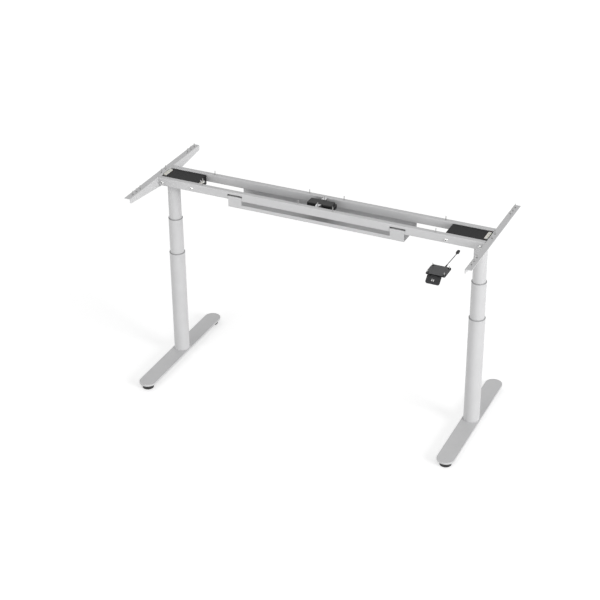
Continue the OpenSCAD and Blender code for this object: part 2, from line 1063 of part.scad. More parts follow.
module handset_base() {
  plate = handset_height - handset_lid_height;
  color(black_plastic)
    difference() {
      union() {
        place(handset_x, handset_y, top_height - handset_height) {
          linear_extrude(plate)
            round_rect(handset_width, handset_depth, handset_corner);
          translate([-switch_width / 2, -switch_depth / 2, -switch_height])
            cube([switch_width, switch_depth, switch_height + cut]);
        }
        for (s = [-1, 1])
          place(paddle_x + s * lug_spread / 2, pin_y, pin_z)
            rotate([0, 90, 0]) {
              cylinder(r = hub_radius, h = lug, center = true);
              translate([-(hub_radius + lug_gap + cut) / 2, 0, 0])
                cube([hub_radius + lug_gap + cut, 2 * hub_radius, lug], center = true);
            }
      }
      for (x = [-1, 1], y = [-1, 1])
        place(handset_x + x * hole_x, handset_y + y * hole_y, top_height - handset_height)
          hole(screw_radius + hole_slack, handset_height);
      place(paddle_x, pin_y, pin_z)
        rotate([0, 90, 0])
          cylinder(r = pin_radius + running, h = handset_width, center = true, $fn = 32);
    }
}

module handset_lid() {
  color(dark_plastic)
    place(handset_x, handset_y, top_height - handset_lid_height)
      difference() {
        linear_extrude(handset_lid_height)
          round_rect(handset_width, handset_depth, handset_corner);
        for (x = [-1, 1], y = [-1, 1])
          translate([x * hole_x, y * hole_y, -cut]) {
            cylinder(r = handset_pocket, h = handset_lid_height + 2 * cut);
            translate([-handset_pocket * (1 - x) / 2, -handset_pocket, 0])
              cube([handset_pocket, 2 * handset_pocket, handset_lid_height + 2 * cut]);
            translate([-handset_pocket, -handset_pocket * (1 - y) / 2, 0])
              cube([2 * handset_pocket, handset_pocket, handset_lid_height + 2 * cut]);
          }
      }
}

module paddle_pin() {
  color(bare_steel)
    place(paddle_x, pin_y, pin_z)
      rotate([0, 90, 0])
        cylinder(r = pin_radius, h = hub_width - 2 * hub_pin_recess, center = true, $fn = 32);
}

module handset_paddle() {
  flat = paddle_length - paddle_corner;
  notch = lug + 2 * lug_gap;
  color(dark_plastic)
    place(paddle_x, pin_y, pin_z)
      rotate([paddle_slope, 0, 0])
        difference() {
          union() {
            rotate([0, 90, 0])
              cylinder(r = hub_radius, h = hub_width, center = true);
            translate([-hub_width / 2, -flat, -paddle_thickness / 2])
              cube([hub_width, flat, paddle_thickness]);
            translate([-paddle_width / 2, -flat, -paddle_thickness / 2])
              cube([paddle_width, flat - hub_clear, paddle_thickness]);
            translate([
              paddle_corner - paddle_width / 2,
              -paddle_length,
              -paddle_thickness / 2
            ])
              cube([paddle_width - 2 * paddle_corner, paddle_length, paddle_thickness]);
            for (x = [-1, 1])
              translate([x * (paddle_width / 2 - paddle_corner), -flat, 0])
                cylinder(r = paddle_corner, h = paddle_thickness, center = true);
          }
          rotate([0, 90, 0])
            cylinder(r = pin_radius + running, h = paddle_width, center = true, $fn = 32);
          for (x = [-1, 1])
            translate([x * lug_spread / 2, 0, 0])
              rotate([0, 90, 0])
                cylinder(r = hub_radius + cut, h = notch, center = true);
        }
}

module cord_relief() {
  color(black_plastic)
    place(cord_x, handset_back_y, cord_z)
      rotate([-90, 0, 0])
        cylinder(r1 = relief_radius, r2 = cord_radius + sliding, h = relief_length);
}

// Unit vector along the cord's route at point i
function along(path, i) =
  let (last = len(path) - 1, a = path[max(i - 1, 0)], b = path[min(i + 1, last)])
  (b - a) / norm(b - a);

// A tube of n sides swept along a route in the plane of Y and Z
module sweep(path, r, n) {
  rings = len(path);
  points = [
    for (i = [0:rings - 1], k = [0:n - 1])
      let (t = along(path, i), up = [0, -t[2], t[1]], a = 360 * k / n)
      path[i] + r * (cos(a) * [1, 0, 0] + sin(a) * up)
  ];
  walls = [
    for (i = [0:rings - 2], k = [0:n - 1])
      let (a = i * n + k, b = i * n + (k + 1) % n)
      [a, b, b + n, a + n]
  ];
  first = [for (k = [0:n - 1]) n - 1 - k];
  final = [for (k = [0:n - 1]) (rings - 1) * n + k];
  polyhedron(points = points, faces = concat([first, final], walls));
}

module handset_cord() {
  color([0.3, 0.3, 0.31])
    place(cord_x, cord_y, cord_z)
      sweep(cord_path, cord_radius, cord_sides);
}

module handset_plug() {
  end = cord_path[len(cord_path) - 1];
  color(black_plastic)
    place(cord_x + end[0], cord_y + end[1], cord_z + end[2]) {
      nose = plug_length / 3;
      translate([-plug_width / 2, nose, -plug_height / 2])
        cube([plug_width, plug_length - nose, plug_height]);
      rotate([-90, 0, 0])
        cylinder(r1 = cord_radius + sliding, r2 = plug_height / 2, h = nose + cut);
    }
}

module cable_clip() {
  color(white_plastic)
    place(clip_x, -rail_in_y, top_height - cable_clip_height)
      difference() {
        translate([-cable_clip_width / 2, 0, 0])
          cube([cable_clip_width, cable_clip_depth, cable_clip_height]);
        for (y = clip_screw_places)
          translate([0, y, 0])
            hole(screw_radius + hole_slack, cable_clip_height);
        translate([-cable_clip_width / 2 - cut, cable_clip_inset + cable_clip_spread / 2, 0])
          rotate([0, 90, 0])
            cylinder(r = cable_clip_arch, h = cable_clip_width + 2 * cut, $fn = 32);
      }
}

// A wood screw with its head under a plate of the thickness given
module wood_screw(x, y, plate, rise) {
  neck = screw_radius - screw_relief;
  straight = rise - screw_tip;
  place(x, y, top_height - plate) {
    translate([0, 0, -screw_head_height])
      cylinder(
        r1 = screw_head_radius - cut,
        r2 = screw_head_radius,
        h = screw_head_height,
        $fn = 32
      );
    cylinder(r = neck, h = plate, $fn = 32);
    translate([0, 0, plate])
      cylinder(r = screw_radius, h = straight, $fn = 32);
    translate([0, 0, plate + straight])
      cylinder(r1 = screw_radius, r2 = screw_radius / 4, h = screw_tip, $fn = 32);
  }
}

module desktop_screws() {
  color([0.8, 0.8, 0.78]) {
    for (s = [-1, 1], x = [rail_screw_near_x, rail_screw_far_x], y = [-1, 1])
      wood_screw(s * x, y * rail_mid_y, rail_wall, screw_rise);
    for (s = [-1, 1], y = bracket_screw_places)
      wood_screw(s * (web_x + bracket_screw_inset), y, bracket_wall, screw_rise);
    for (y = [-1, 1])
      wood_screw(0, y * (box_depth / 2 + rail_in_y) / 2, clip_sheet, clip_rise);
    for (x = [-1, 1], y = [-1, 1])
      wood_screw(
        handset_x + x * hole_x,
        handset_y + y * hole_y,
        handset_height,
        handset_rise
      );
    for (y = clip_screw_places)
      wood_screw(clip_x, y - rail_in_y, cable_clip_height, cable_clip_rise);
  }
}

foot_plate(-1);  // left_foot_plate
foot_plate(1);  // right_foot_plate
foot_screws();
glide_studs();
outer_tube(-1);  // left_outer_tube
outer_tube(1);  // right_outer_tube
outer_ring(-1);  // left_outer_ring
outer_ring(1);  // right_outer_ring
lift_post(-1);  // left_lift_post
lift_post(1);  // right_lift_post
glide(-1, glide_front_y);  // front_left_glide
glide(1, glide_front_y);  // front_right_glide
glide(-1, glide_back_y);  // back_left_glide
glide(1, glide_back_y);  // back_right_glide
middle_tube(-1);  // left_middle_tube
middle_tube(1);  // right_middle_tube
middle_ring(-1);  // left_middle_ring
middle_ring(1);  // right_middle_ring
middle_guide(-1);  // left_middle_guide
middle_guide(1);  // right_middle_guide
spindle(-1);  // left_spindle
spindle(1);  // right_spindle
spindle_nut(-1);  // left_spindle_nut
spindle_nut(1);  // right_spindle_nut
inner_tube(-1);  // left_inner_tube
inner_tube(1);  // right_inner_tube
inner_guides();
drive_tube(-1);  // left_drive_tube
drive_tube(1);  // right_drive_tube
drive_nut(-1);  // left_drive_nut
drive_nut(1);  // right_drive_nut
drive_bearings();
gear_housing(-1);  // left_gear_housing
gear_housing(1);  // right_gear_housing
housing_cover(-1);  // left_housing_cover
housing_cover(1);  // right_housing_cover
motor(-1);  // left_motor
motor(1);  // right_motor
motor_connectors();
housing_bolts();
column_plate_screws();
front_rail();
back_rail();
bracket(-1);  // left_bracket
bracket(1);  // right_bracket
rail_end_screws();
cable_tray();
control_box_case();
control_box_sockets();
control_box_clips();
handset_base();
handset_lid();
paddle_pin();
handset_paddle();
cord_relief();
handset_cord();
handset_plug();
cable_clip();
desktop_screws();
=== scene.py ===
import math

import bpy
from mathutils import Matrix, Vector


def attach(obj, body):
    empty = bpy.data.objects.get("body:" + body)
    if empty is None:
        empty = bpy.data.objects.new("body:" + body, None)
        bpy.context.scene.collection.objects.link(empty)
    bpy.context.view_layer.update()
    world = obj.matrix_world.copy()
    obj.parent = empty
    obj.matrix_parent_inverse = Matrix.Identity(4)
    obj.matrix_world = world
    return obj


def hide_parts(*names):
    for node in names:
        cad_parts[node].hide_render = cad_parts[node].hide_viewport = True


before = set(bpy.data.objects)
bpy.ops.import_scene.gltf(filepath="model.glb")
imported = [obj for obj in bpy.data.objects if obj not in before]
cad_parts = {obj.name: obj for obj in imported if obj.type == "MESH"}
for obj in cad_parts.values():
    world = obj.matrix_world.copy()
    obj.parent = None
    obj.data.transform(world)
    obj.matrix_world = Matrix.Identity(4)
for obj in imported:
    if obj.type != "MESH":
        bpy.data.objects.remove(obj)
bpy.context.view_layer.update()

MM = 0.001
# The columns' axes lie this far behind the frame's middle
SHIFT_Y = 0.044699
TOP = 1.060
# Sharp edges, in degrees between faces, for new pieces and for the CAD's nodes
SHARP = 35
NODE_SHARP = 32
# The same for turned pieces, whose facets meet at wider angles
ROUND = 40

bpy.context.scene.view_settings.view_transform = "Standard"


# CAMERA

# Azimuth, elevation and roll in degrees, fitted to the photograph with place and lens
CAMERA_ANGLES = (25.215, 28.680, -0.432)
CAMERA_PLACE = (2.6891, -5.9105, 4.2615)
LENS = 90.654
FRAME_SHIFT_Y = -0.05
CLIP_END = 200


def make_camera():
    a, e, r = (math.radians(v) for v in CAMERA_ANGLES)
    back = Vector((math.sin(a) * math.cos(e), -math.cos(a) * math.cos(e), math.sin(e)))
    right = Vector((math.cos(a), math.sin(a), 0))
    up = back.cross(right)
    x = right * math.cos(r) + up * math.sin(r)
    y = up * math.cos(r) - right * math.sin(r)
    pos = Vector(CAMERA_PLACE)
    data = bpy.data.cameras.new("camera")
    data.sensor_width = 36
    data.lens = LENS
    data.shift_y = FRAME_SHIFT_Y
    data.clip_end = CLIP_END
    cam = bpy.data.objects.new("camera", data)
    cam.matrix_world = Matrix((
        (x.x, y.x, back.x, pos.x),
        (x.y, y.y, back.y, pos.y),
        (x.z, y.z, back.z, pos.z),
        (0, 0, 0, 1),
    ))
    bpy.context.scene.collection.objects.link(cam)
    bpy.context.scene.camera = cam


make_camera()


# MESHES

def link(name, verts, faces, smooth=SHARP):
    me = bpy.data.meshes.new(name)
    me.from_pydata([tuple(v) for v in verts], [], faces)
    me.update()
    ob = bpy.data.objects.new(name, me)
    bpy.context.scene.collection.objects.link(ob)
    if smooth:
        me.shade_smooth()
        me.set_sharp_from_angle(angle=math.radians(smooth))
    return ob


def lathe(profile, seg, place, radius=None):
    """Vertices and faces of a profile of (radius, height) turned about Z.
    radius(i, angle, r) may reshape ring i; a zero radius makes one point."""
    verts, faces, rings = [], [], []
    for i, (r, h) in enumerate(profile):
        if r == 0:
            rings.append([len(verts)])
            verts.append(place @ Vector((0, 0, h)))
            continue
        ring = []
        for k in range(seg):
            t = 2 * math.pi * k / seg
            q = r if radius is None else radius(i, t, r)
            ring.append(len(verts))
            verts.append(place @ Vector((q * math.cos(t), q * math.sin(t), h)))
        rings.append(ring)
    for a, b in zip(rings, rings[1:]):
        for k in range(seg):
            j = (k + 1) % seg
            if len(a) == 1 and len(b) == 1:
                continue
            if len(a) == 1:
                faces.append((a[0], b[j], b[k]))
            elif len(b) == 1:
                faces.append((a[k], a[j], b[0]))
            else:
                faces.append((a[k], a[j], b[j], b[k]))
    return verts, faces


class Pile:
    """Several bits gathered in one mesh."""

    def __init__(self):
        self.verts, self.faces = [], []

    def add(self, bit):
        verts, faces = bit
        n = len(self.verts)
        self.verts += verts
        self.faces += [tuple(i + n for i in f) for f in faces]

    def make(self, name, smooth=SHARP):
        return link(name, self.verts, self.faces, smooth)


def at(x, y, z, turn=None):
    m = Matrix.Translation((x, y, z))
    return m if turn is None else m @ turn


def rot(axis, degrees):
    return Matrix.Rotation(math.radians(degrees), 4, axis)


# MATERIALS

def material(name, color, rough, metal=0.0, **sockets):
    mat = bpy.data.materials.new(name)
    mat.use_nodes = True
    tree = mat.node_tree
    shader = tree.nodes["Principled BSDF"]
    shader.inputs["Base Color"].default_value = (*color, 1)
    shader.inputs["Roughness"].default_value = rough
    shader.inputs["Metallic"].default_value = metal
    for key, value in sockets.items():
        shader.inputs[key.replace("_", " ")].default_value = value
    return mat, tree, shader


def coords(tree, scale=(1, 1, 1)):
    c = tree.nodes.new("ShaderNodeTexCoord")
    m = tree.nodes.new("ShaderNodeMapping")
    m.inputs["Scale"].default_value = scale
    tree.links.new(c.outputs["Object"], m.inputs["Vector"])
    return m.outputs["Vector"]


def noise(tree, vector, scale, detail=2.0, rough=0.5):
    n = tree.nodes.new("ShaderNodeTexNoise")
    n.inputs["Scale"].default_value = scale
    n.inputs["Detail"].default_value = detail
    n.inputs["Roughness"].default_value = rough
    tree.links.new(vector, n.inputs["Vector"])
    return n.outputs["Fac"]


def spread(tree, value, low, high, start=0.3, end=0.7):
    """The value with its range from start to end mapped to low to high."""
    m = tree.nodes.new("ShaderNodeMapRange")
    m.inputs["From Min"].default_value = start
    m.inputs["From Max"].default_value = end
    m.inputs["To Min"].default_value = low
    m.inputs["To Max"].default_value = high
    tree.links.new(value, m.inputs["Value"])
    return m.outputs["Result"]


def tint(tree, value, low, high, start=0.3, end=0.7):
    """A colour between two, by the noise value."""
    c = tree.nodes.new("ShaderNodeValToRGB")
    c.color_ramp.elements[0].position = start
    c.color_ramp.elements[1].position = end
    c.color_ramp.elements[0].color = (*low, 1)
    c.color_ramp.elements[1].color = (*high, 1)
    tree.links.new(value, c.inputs["Fac"])
    return c.outputs["Color"]


def bump(tree, shader, value, depth, strength=1.0, under=None):
    b = tree.nodes.new("ShaderNodeBump")
    b.inputs["Strength"].default_value = strength
    b.inputs["Distance"].default_value = depth
    tree.links.new(value, b.inputs["Height"])
    if under is not None:
        tree.links.new(under, b.inputs["Normal"])
    tree.links.new(b.outputs["Normal"], shader.inputs["Normal"])
    return b.outputs["Normal"]


def shade(color, share):
    return tuple(min(1, c * share) for c in color)


def powder_coat(name, color):
    """Fine smooth powder coat: a faint orange peel, and slightly cloudy gloss and colour."""
    mat, tree, shader = material(
        name, color, 0.42, Coat_Weight=0.08, Coat_Roughness=0.32, Specular_IOR_Level=0.42,
    )
    v = coords(tree)
    cloud = noise(tree, v, 14, 3)
    mottled = tint(tree, cloud, shade(color, 0.975), shade(color, 1.02))
    tree.links.new(mottled, shader.inputs["Base Color"])
    fine = noise(tree, v, 420, 2)
    tree.links.new(spread(tree, fine, 0.36, 0.50), shader.inputs["Roughness"])
    peel = bump(tree, shader, noise(tree, v, 260, 1.5), 0.00003, 0.7)
    bump(tree, shader, noise(tree, v, 1500, 2), 0.000008, 0.5, peel)
    return mat


def math_node(tree, kind, a, b):
    """A math node; each of a and b is a value or a socket."""
    n = tree.nodes.new("ShaderNodeMath")
    n.operation = kind
    for socket, value in zip(n.inputs, (a, b)):
        if isinstance(value, (int, float)):
            socket.default_value = value
        else:
            tree.links.new(value, socket)
    return n.outputs[0]


def rail_coat_shaded_inside(name, color):
    """The powder coat, with painted shade inside the rails' tubes: a near-black colour there, for
    the shade in the closed tubes.
    """
    mat = powder_coat(name, color)
    tree = mat.node_tree
    shader = tree.nodes["Principled BSDF"]
    parts = tree.nodes.new("ShaderNodeSeparateXYZ")
    tree.links.new(coords(tree), parts.inputs[0])

    def off(value, middle):
        """How far the value is from the middle, either way."""
        return math_node(tree, "ABSOLUTE", math_node(tree, "SUBTRACT", value, middle), 0)

    across = off(off(parts.outputs["Y"], SHIFT_Y), RAIL_MID)
    height = off(parts.outputs["Z"], RAIL_LEVEL)
    inside = math_node(
        tree, "MULTIPLY",
        math_node(tree, "LESS_THAN", across, RAIL_HALF_DEPTH),
        math_node(tree, "LESS_THAN", height, RAIL_HALF_HEIGHT),
    )
    mix = tree.nodes.new("ShaderNodeMix")
    mix.data_type = "RGBA"
    outer = shader.inputs["Base Color"].links[0].from_socket
    # Painted shade: a near-black mottled colour on the tubes' inner walls
    shade_tone = tint(tree, noise(tree, coords(tree), 90, 3), INSIDE_SHADE_DARK, INSIDE_SHADE_LIGHT)
    tree.links.new(inside, mix.inputs["Factor"])
    tree.links.new(outer, mix.inputs["A"])
    tree.links.new(shade_tone, mix.inputs["B"])
    tree.links.new(mix.outputs["Result"], shader.inputs["Base Color"])
    return mat


def plastic(name, color, rough, grain=1400, depth=0.00005, cloud=0.12, **sockets):
    """Moulded plastic with a fine spark-eroded grain, and a slight change of gloss."""
    mat, tree, shader = material(name, color, rough, **sockets)
    v = coords(tree)
    blot = noise(tree, v, 30, 3)
    mottled = tint(tree, blot, shade(color, 1 - cloud), shade(color, 1 + cloud))
    tree.links.new(mottled, shader.inputs["Base Color"])
    g = noise(tree, v, grain, 3, 0.6)
    tree.links.new(spread(tree, g, rough - 0.07, rough + 0.09), shader.inputs["Roughness"])
    bump(tree, shader, g, depth, 0.8)
    return mat


def steel(name, color, rough, scale=(900, 900, 60), depth=0.00002, **sockets):
    """Metal with fine tool marks along one axis."""
    mat, tree, shader = material(name, color, rough, 1.0, **sockets)
    lines = noise(tree, coords(tree, scale), 1, 3, 0.6)
    blot = noise(tree, coords(tree), 60, 3)
    mottled = tint(tree, blot, shade(color, 0.9), shade(color, 1.06))
    tree.links.new(mottled, shader.inputs["Base Color"])
    tree.links.new(spread(tree, lines, rough - 0.07, rough + 0.1), shader.inputs["Roughness"])
    bump(tree, shader, lines, depth, 0.6)
    return mat


GREY = (0.60, 0.60, 0.605)
# The rails' tubes: middle and inner half sizes, from the columns' axes and the floor
RAIL_MID = 0.0675
RAIL_LEVEL = 1.039
RAIL_HALF_DEPTH = 0.0109
RAIL_HALF_HEIGHT = 0.0190
# Darkest and lightest tone of the painted shade inside the rails' tubes
INSIDE_SHADE_DARK = (0.035, 0.034, 0.033)
INSIDE_SHADE_LIGHT = (0.06, 0.058, 0.056)
MATS = {
    "grey_paint": powder_coat("grey_paint", GREY),
    "bare_steel": steel("bare_steel", (0.60, 0.60, 0.61), 0.34),
    "screw_steel": steel("screw_steel", (0.42, 0.42, 0.43), 0.3, (60, 60, 1500)),
    "screw_steel_bright": steel("screw_steel_bright", (0.44, 0.44, 0.435), 0.3, (300, 300, 1500)),
    "motor_steel": plastic(
        "motor_steel", (0.03, 0.03, 0.032), 0.35, 500, 0.00003, Metallic=0.0, Coat_Weight=0.3,
    ),
    "bronze": steel("bronze", (0.56, 0.38, 0.18), 0.36, (400, 400, 400), 0.00004),
    "ring_plastic": plastic("ring_plastic", (0.33, 0.33, 0.335), 0.5),
    "white_plastic": plastic(
        "white_plastic", (0.78, 0.765, 0.71), 0.42, 900, 0.00003, 0.03,
        Subsurface_Weight=0.06, Subsurface_Scale=0.002,
    ),
    "glide_plastic": plastic("glide_plastic", (0.02, 0.02, 0.021), 0.55, 800, 0.00006),
    "black_plastic": plastic(
        "black_plastic", (0.010, 0.010, 0.0105), 0.5, Specular_IOR_Level=0.4,
    ),
    "dark_plastic": plastic("dark_plastic", (0.05, 0.05, 0.053), 0.52),
    "cord_sheath": plastic(
        "cord_sheath", (0.02, 0.02, 0.021), 0.5, 700, 0.00004, Specular_IOR_Level=0.3,
    ),
    # Looks that aren't slots of the record: see LOOKS and the pieces below
    # The rails' coat paints shade inside their tubes
    "rail_paint_shaded_inside": rail_coat_shaded_inside("rail_paint_shaded_inside", GREY),
    "housing_plastic": plastic(
        "housing_plastic", (0.006, 0.006, 0.0064), 0.52, 1100, 0.00005, Specular_IOR_Level=0.2,
    ),
    "base_plastic": plastic(
        "base_plastic", (0.006, 0.006, 0.0063), 0.6, 1200, 0.00005, Specular_IOR_Level=0.05,
    ),
    "paddle_plastic": plastic(
        "paddle_plastic", (0.024, 0.024, 0.0255), 0.52, Specular_IOR_Level=0.4,
    ),
    "bolt_steel": steel("bolt_steel", (0.70, 0.70, 0.695), 0.28, (300, 300, 1500)),
    # Painted shade: the bolts' sockets are coloured dark for the shade inside them
    "socket_painted_shade": steel("socket_painted_shade", (0.16, 0.16, 0.162), 0.45, (300, 300, 300)),
    "white_ink": plastic("white_ink", (0.75, 0.75, 0.74), 0.5, 2000, 0.00001, 0.02),
}

# Bevel widths, by slot, and the foot plates' own
BEVELS = {
    "grey_paint": 0.0006,
    "bare_steel": 0.0004,
    "white_plastic": 0.0006,
    "black_plastic": 0.0006,
    "dark_plastic": 0.0006,
    "glide_plastic": 0.0008,
    "ring_plastic": 0.0006,
}
FOOT_BEVEL = 0.003
FOOT_SEGMENTS = 4
WELD_GAP = 0.00001

SLOT_NODES = {
    "grey_paint": (
        "left_foot_plate right_foot_plate left_outer_tube right_outer_tube left_middle_tube "
        "right_middle_tube left_inner_tube right_inner_tube front_rail back_rail "
        "left_bracket right_bracket cable_tray"
    ),
    "ring_plastic": "left_outer_ring right_outer_ring left_middle_ring right_middle_ring",
    "white_plastic": (
        "left_middle_guide right_middle_guide inner_guides motor_connectors cable_clip"
    ),
    "glide_plastic": "front_left_glide front_right_glide back_left_glide back_right_glide",
    "black_plastic": (
        "left_gear_housing right_gear_housing left_housing_cover right_housing_cover "
        "control_box_case control_box_sockets handset_base cord_relief handset_plug"
    ),
    "dark_plastic": "handset_lid handset_paddle",
    "screw_steel": (
        "left_spindle right_spindle left_drive_tube right_drive_tube column_plate_screws "
        "rail_end_screws foot_screws glide_studs left_lift_post right_lift_post"
    ),
    "bronze": "left_spindle_nut right_spindle_nut left_drive_nut right_drive_nut",
    "motor_steel": "left_motor right_motor",
    "screw_steel_bright": "housing_bolts desktop_screws",
    "cord_sheath": "handset_cord",
}
SLOTS = {n: slot for slot, names in SLOT_NODES.items() for n in names.split()}
# Nodes whose look differs from the rest of their material's slot
LOOKS = {
    "left_gear_housing": "housing_plastic",
    "right_gear_housing": "housing_plastic",
    "left_housing_cover": "housing_plastic",
    "right_housing_cover": "housing_plastic",
    "front_rail": "rail_paint_shaded_inside",
    "back_rail": "rail_paint_shaded_inside",
    "handset_base": "base_plastic",
    "cord_relief": "base_plastic",
    "handset_paddle": "paddle_plastic",
}


def finish_edges(ob, width, segments=2, angle=38):
    """Rounds the sharp edges over, so that they catch the light as real ones do."""
    weld = ob.modifiers.new("weld", "WELD")
    weld.merge_threshold = WELD_GAP
    bev = ob.modifiers.new("edges", "BEVEL")
    bev.width = width
    bev.segments = segments
    bev.limit_method = "ANGLE"
    bev.angle_limit = math.radians(angle)
    bev.use_clamp_overlap = True
    bev.miter_outer = "MITER_ARC"
    flat = ob.modifiers.new("flat", "WEIGHTED_NORMAL")
    flat.mode = "FACE_AREA"
    flat.weight = 60
    flat.keep_sharp = True


def dress_nodes():
    for name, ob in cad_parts.items():
        slot = SLOTS.get(name, "bare_steel")
        mat = MATS[LOOKS.get(name, slot)]
        ob.data.materials.clear()
        ob.data.materials.append(mat)
        ob.data.shade_smooth()
        ob.data.set_sharp_from_angle(angle=math.radians(NODE_SHARP))
        if "foot_plate" in name:
            finish_edges(ob, FOOT_BEVEL, FOOT_SEGMENTS)
        elif slot in BEVELS:
            finish_edges(ob, BEVELS[slot])


dress_nodes()


def rides(ob, body, slot, *nodes, look=None):
    ob.data.materials.clear()
    ob.data.materials.append(MATS[look or slot])
    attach(ob, body)
    if nodes:
        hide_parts(*nodes)
    return ob


# CORD

CORD_X = 0.768
CORD_Z = 1.055
CORD_Y = -0.339 + SHIFT_Y
CORD_RADIUS = 0.0018
# The strain relief starts on the handset's back
RELIEF_Y = -0.367 + SHIFT_Y
# The route in millimetres along Y and Z, as in the part's source
ROUTE = [
    (0, 0), (8, 0), (16, 0), (24, -0.2), (32, -0.6), (40, -1), (48, -1.4), (56, -1.8),
    (64, -2.2), (72, -2.6), (80, -3), (88, -3.4), (96, -3.8), (104, -4), (112, -4), (118, -4),
]
CORD_POINTS = [(CORD_X, CORD_Y + y * MM, CORD_Z + z * MM) for y, z in ROUTE]


def make_cord():
    curve = bpy.data.curves.new("control_cord", "CURVE")
    curve.dimensions = "3D"
    curve.bevel_depth = CORD_RADIUS
    curve.bevel_resolution = 6
    curve.use_fill_caps = True
    spline = curve.splines.new("POLY")
    spline.points.add(len(CORD_POINTS) - 1)
    for p, co in zip(spline.points, CORD_POINTS):
        p.co = (*co, 1)
    spline.use_smooth = True
    ob = bpy.data.objects.new("control_cord", curve)
    bpy.context.scene.collection.objects.link(ob)
    return rides(ob, "top", "cord_sheath", "handset_cord")


def make_relief():
    """Tapered strain relief with the grooves that let it bend. Sizes in millimetres."""
    foot, taper, length, groove, pitch, grooves = 4.0, 1.4, 28, 0.55, 3.3, 7
    profile = [(0, 0), (foot, 0), (foot, 2.2)]
    for i in range(grooves):
        t0 = 2.6 + i * pitch
        for t, deep in ((t0, 0), (t0 + 0.5, groove), (t0 + 1.2, groove), (t0 + 1.7, 0)):
            profile.append((foot - taper * t / length - deep, t))
    profile += [(2.6, 27.2), (2.1, length), (0, length)]
    place = at(CORD_X, RELIEF_Y, CORD_Z, rot("X", -90))
    verts, faces = lathe([(r * MM, h * MM) for r, h in profile], 32, place)
    ob = link("cord_strain_relief", verts, faces)
    return rides(ob, "top", "black_plastic", "cord_relief", look="base_plastic")


def make_plug():
    """Cable connector: a tapered boot, a body with grip grooves and a nose with a mouth.
    Each ring is its place along the plug, its half sizes and its squareness, in millimetres."""
    place = at(*CORD_POINTS[-1], rot("X", -90))
    w, h, length, n = 6.5, 5.0, 36, 32

    def ring(t, hw, hh, corner):
        out = []
        for k in range(n):
            a = 2 * math.pi * k / n
            c, s = math.cos(a), math.sin(a)
            p = 2 / corner
            x = hw * math.copysign(abs(c) ** p, c)
            y = hh * math.copysign(abs(s) ** p, s)
            out.append(place @ Vector((x * MM, y * MM, t * MM)))
        return out

    rings = [
        (0.0, 2.0, 2.0, 2), (1.0, 2.5, 2.5, 2), (8.5, 3.6, 3.4, 2.2), (10.5, 5.0, 4.2, 3),
        (12.0, w, h, 6), (13.0, w, h, 8), (13.5, w - 0.5, h - 0.5, 8),
        (14.3, w - 0.5, h - 0.5, 8), (14.8, w, h, 8), (16.2, w, h, 8),
        (16.7, w - 0.5, h - 0.5, 8), (17.5, w - 0.5, h - 0.5, 8), (18.0, w, h, 8),
        (19.4, w, h, 8), (19.9, w - 0.5, h - 0.5, 8), (20.7, w - 0.5, h - 0.5, 8),
        (21.2, w, h, 8), (28.0, w, h, 8), (28.4, w - 0.7, h - 0.7, 8),
        (35.6, w - 0.7, h - 0.7, 8), (length, w - 1.2, h - 1.2, 8),
        (length - 0.1, w - 2.0, h - 2.0, 8), (30.0, w - 2.0, h - 2.0, 8),
    ]
    verts, faces = [], []
    for r in rings:
        verts += ring(*r)
    for i in range(len(rings) - 1):
        for k in range(n):
            j = (k + 1) % n
            faces.append((i * n + k, i * n + j, (i + 1) * n + j, (i + 1) * n + k))
    faces.append(tuple(range(n - 1, -1, -1)))
    faces.append(tuple((len(rings) - 1) * n + k for k in range(n)))
    ob = link("control_plug", verts, faces, ROUND)
    return rides(ob, "top", "black_plastic", "handset_plug")


cord = make_cord()
relief = make_relief()
plug = make_plug()


# SCREWS AND BOLTS

def cross_recess(i, t, r):
    """Ring radius of a cross-shaped hole."""
    lobe = abs(math.cos(2 * t)) ** 3
    return r * (0.42 + 0.58 * lobe)


def hexagon(first):
    """Ring radius of a hexagonal socket, from ring number first on."""
    def radius(i, t, r):
        if i < first:
            return r
        return r * math.cos(math.pi / 6) / math.cos(t % (math.pi / 3) - math.pi / 6)
    return radius


def thread(pile, place, core, crest, pitch, start, stop, tip=None, seg=14):
    """A helical ridge from start to stop; with a tip it tapers to that end's point."""
    count = int((stop - start) / pitch * seg)
    verts, faces = [], []
    for k in range(count + 1):
        t = 2 * math.pi * k / seg
        h = start + pitch * k / seg
        taper = 1.0 if tip is None else min(1.0, max(0.0, (stop + 0.7 * MM - h) / tip))
        fade = min(1.0, k / seg)
        inner = core * (0.4 + 0.6 * taper) - 0.15 * MM
        outer = core + (crest - core) * fade
        outer = inner + (outer - inner) * max(0.25, taper)
        half = 0.42 * pitch
        for q, dz in ((inner, -half), (outer, -0.12 * MM), (outer, 0.12 * MM), (inner, half)):
            verts.append(place @ Vector((q * math.cos(t), q * math.sin(t), h + dz)))
    for k in range(count):
        a, b = 4 * k, 4 * k + 4
        for j in range(3):
            faces.append((a + j, b + j, b + j + 1, a + j + 1))
    pile.add((verts, faces))


# Places along X from the middle and along Y from the columns' axes, in metres, apart from
# the brackets' rows in millimetres. A screw's plate and its rise over the frame's top are
# in millimetres.
RAIL_SCREW_X = (0.091, 0.612)
RAIL_SCREW_Y = 0.0675
BRACKET_SCREW_X = 0.869
BRACKET_SCREW_Y = (-303, -267, -231, -22, 22, 251, 287, 323)
BOX_SCREW_Y = 0.04075
HANDSET_MID = (0.7525, -0.4095)
HANDSET_SCREW_OFF = (0.039, 0.033)
CLIP_SCREW_X = -0.631
CLIP_SCREW_Y = (-0.0497, -0.0267)
FLANGE_SCREW = (2.5, 22)
BOX_SCREW = (1.5, 16)
HANDSET_SCREW = (8, 13)
CLIP_SCREW = (8, 17)


